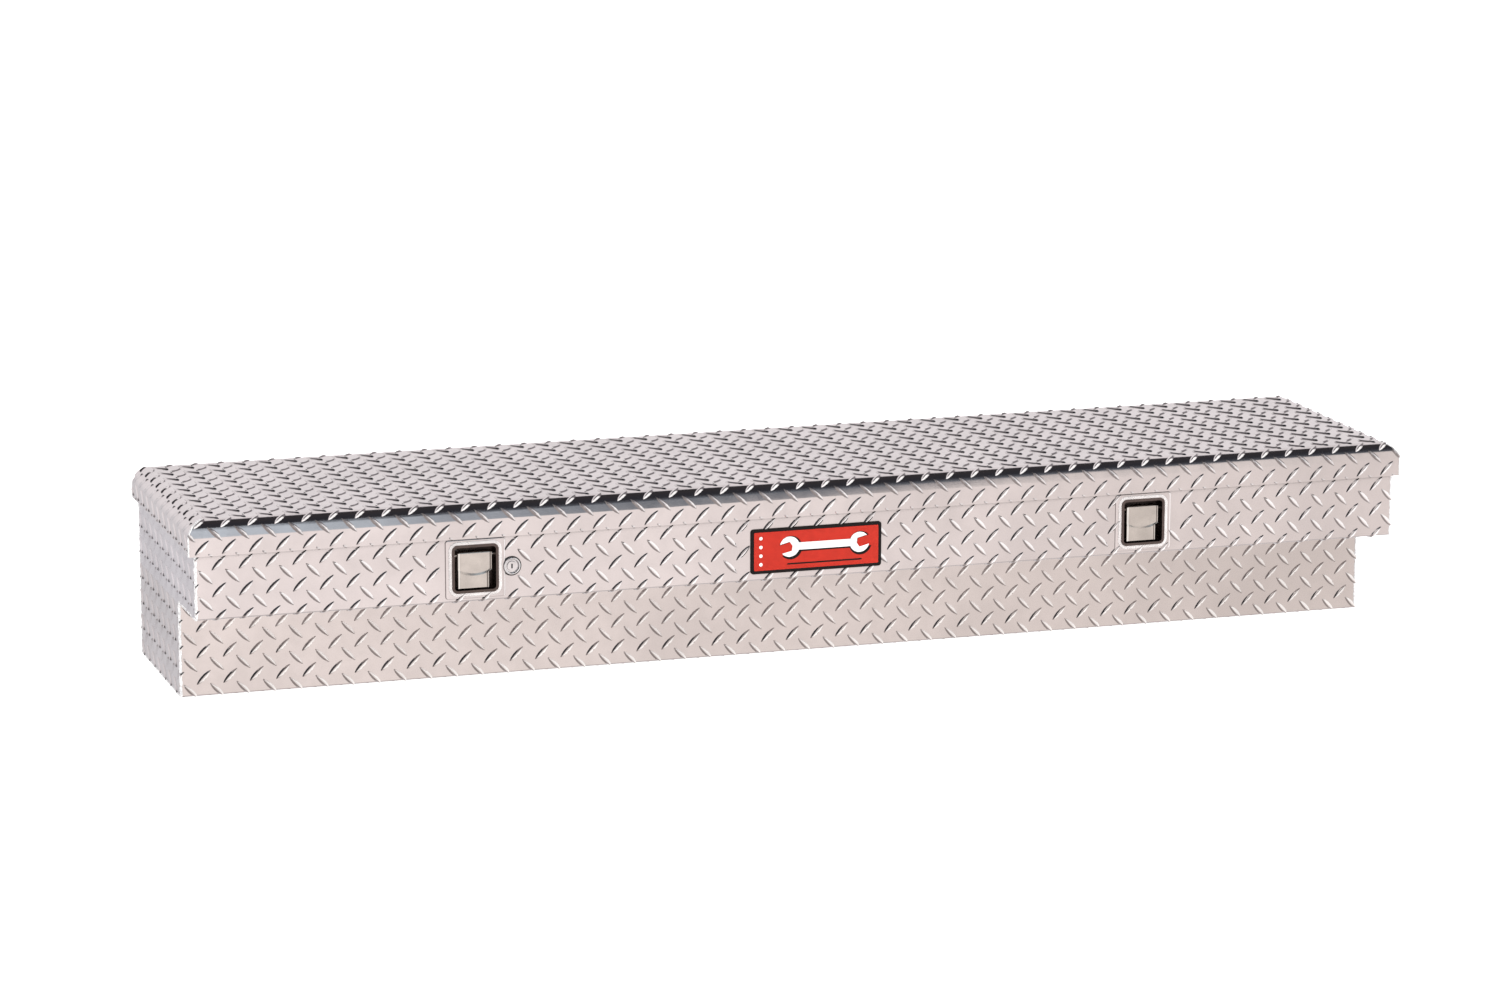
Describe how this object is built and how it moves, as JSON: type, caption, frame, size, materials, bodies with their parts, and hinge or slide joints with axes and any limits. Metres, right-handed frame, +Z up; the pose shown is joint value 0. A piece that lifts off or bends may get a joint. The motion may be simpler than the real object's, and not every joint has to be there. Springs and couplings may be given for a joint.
{
  "type": "truck tool box",
  "caption": "Long aluminium tread plate tool box for a truck side rail, with a stepped body, one rolled lid on a rear hinge, two paddle latches, a key lock and two gas springs.",
  "frame": {"origin": "centre of the bottom of the whole box, midway between the lid's ends and between the lid's front and the hinge's back", "axes": "+X to the right along the length seen from the front, +Y from front to hinge, +Z up"},
  "size_m": [1.778, 0.39, 0.2695],
  "materials": {
    "aluminium_sheet": "bright tread plate",
    "aluminium_plain": "mill",
    "stainless": "polished stainless",
    "zinc_steel": "zinc plated",
    "chrome": "polished",
    "black_paint": "semi gloss",
    "rubber": "matt",
    "badge_face": "printed"
  },
  "bodies": {
    "box": {"badge": "badge_face", "body_shell": "aluminium_sheet", "hinge_leaf_body": "stainless", "hinge_pin": "stainless", "hinge_rivets_body": "aluminium_plain", "latch_case_left": "zinc_steel", "latch_case_right": "zinc_steel", "latch_cup_left": "stainless", "latch_cup_right": "stainless", "latch_gasket_left": "rubber", "latch_gasket_right": "rubber", "latch_screws_left": "zinc_steel", "latch_screws_right": "zinc_steel", "left_end_panel": "aluminium_sheet", "lock_barrel": "chrome", "lock_nut": "zinc_steel", "paddle_pin_left": "stainless", "paddle_pin_right": "stainless", "paddle_spring_left": "zinc_steel", "paddle_spring_right": "zinc_steel", "pawl_pin_left": "zinc_steel", "pawl_pin_right": "zinc_steel", "right_end_panel": "aluminium_sheet", "rotor_pin_left": "zinc_steel", "rotor_pin_right": "zinc_steel", "strut_bracket_body_left": "zinc_steel", "strut_bracket_body_right": "zinc_steel", "strut_clip_left": "zinc_steel", "strut_clip_right": "zinc_steel", "weather_seal": "rubber"},
    "lid": {"lid_skin": "aluminium_sheet", "lid_stiffener": "aluminium_plain", "hinge_leaf_lid": "stainless", "hinge_rivets_lid": "aluminium_plain", "striker_left": "zinc_steel", "striker_right": "zinc_steel", "strut_bracket_lid_left": "zinc_steel", "strut_bracket_lid_right": "zinc_steel"},
    "lock_plug": {"lock_plug": "chrome", "lock_cam": "zinc_steel"},
    "paddle_left": {"paddle_left": "stainless"},
    "paddle_right": {"paddle_right": "stainless"},
    "pawl_left": {"pawl_left": "zinc_steel"},
    "pawl_right": {"pawl_right": "zinc_steel"},
    "rotor_left": {"rotor_left": "zinc_steel"},
    "rotor_right": {"rotor_right": "zinc_steel"},
    "strut_tube_left": {"strut_tube_left": "black_paint"},
    "strut_tube_right": {"strut_tube_right": "black_paint"},
    "strut_rod_left": {"strut_rod_left": "chrome"},
    "strut_rod_right": {"strut_rod_right": "chrome"}
  },
  "joints": [
    {"name": "lid_hinge", "type": "hinge", "parent": "box", "child": "lid", "pos_m": [0, 0.192, 0.2555], "axis": [-1, 0, 0], "range_deg": [0, 75]},
    {"name": "strut_pivot_left", "type": "hinge", "parent": "box", "child": "strut_tube_left", "pos_m": [-0.846, 0.162, 0.2275], "axis": [-1, 0, 0], "range_deg": [0, 75.63]},
    {"name": "strut_extend_left", "type": "slide", "parent": "strut_tube_left", "child": "strut_rod_left", "axis": [0, -0.9932, 0.1168], "range_m": [0, 0.04993]},
    {"name": "paddle_pull_left", "type": "hinge", "parent": "box", "child": "paddle_left", "pos_m": [-0.4915, -0.18, 0.197], "axis": [-1, 0, 0], "range_deg": [0, 25]},
    {"name": "pawl_lift_left", "type": "hinge", "parent": "box", "child": "pawl_left", "pos_m": [-0.4635, -0.1616, 0.2], "axis": [0, -1, 0], "range_deg": [0, 27.51]},
    {"name": "rotor_turn_left", "type": "hinge", "parent": "box", "child": "rotor_left", "pos_m": [-0.5055, -0.1616, 0.22], "axis": [0, 1, 0], "range_deg": [0, 80]},
    {"name": "strut_pivot_right", "type": "hinge", "parent": "box", "child": "strut_tube_right", "pos_m": [0.846, 0.162, 0.2275], "axis": [-1, 0, 0], "range_deg": [0, 75.63]},
    {"name": "strut_extend_right", "type": "slide", "parent": "strut_tube_right", "child": "strut_rod_right", "axis": [0, -0.9932, 0.1168], "range_m": [0, 0.04993]},
    {"name": "paddle_pull_right", "type": "hinge", "parent": "box", "child": "paddle_right", "pos_m": [0.4915, -0.18, 0.197], "axis": [-1, 0, 0], "range_deg": [0, 25]},
    {"name": "pawl_lift_right", "type": "hinge", "parent": "box", "child": "pawl_right", "pos_m": [0.5195, -0.1616, 0.2], "axis": [0, -1, 0], "range_deg": [0, 27.51]},
    {"name": "rotor_turn_right", "type": "hinge", "parent": "box", "child": "rotor_right", "pos_m": [0.4775, -0.1616, 0.22], "axis": [0, 1, 0], "range_deg": [0, 80]},
    {"name": "lock_turn", "type": "hinge", "parent": "box", "child": "lock_plug", "pos_m": [-0.4399, -0.18, 0.18], "axis": [0, 1, 0], "range_deg": [0, 90]}
  ],
  "couplings": [
    {"joint": "strut_pivot_left", "follows": "lid_hinge", "ratio": 1.0083},
    {"joint": "strut_extend_left", "follows": "lid_hinge", "m_per_rad": 0.038134},
    {"joint": "pawl_lift_left", "follows": "paddle_pull_left", "ratio": 1.1},
    {"joint": "strut_pivot_right", "follows": "lid_hinge", "ratio": 1.0083},
    {"joint": "strut_extend_right", "follows": "lid_hinge", "m_per_rad": 0.038134},
    {"joint": "pawl_lift_right", "follows": "paddle_pull_right", "ratio": 1.1}
  ]
}
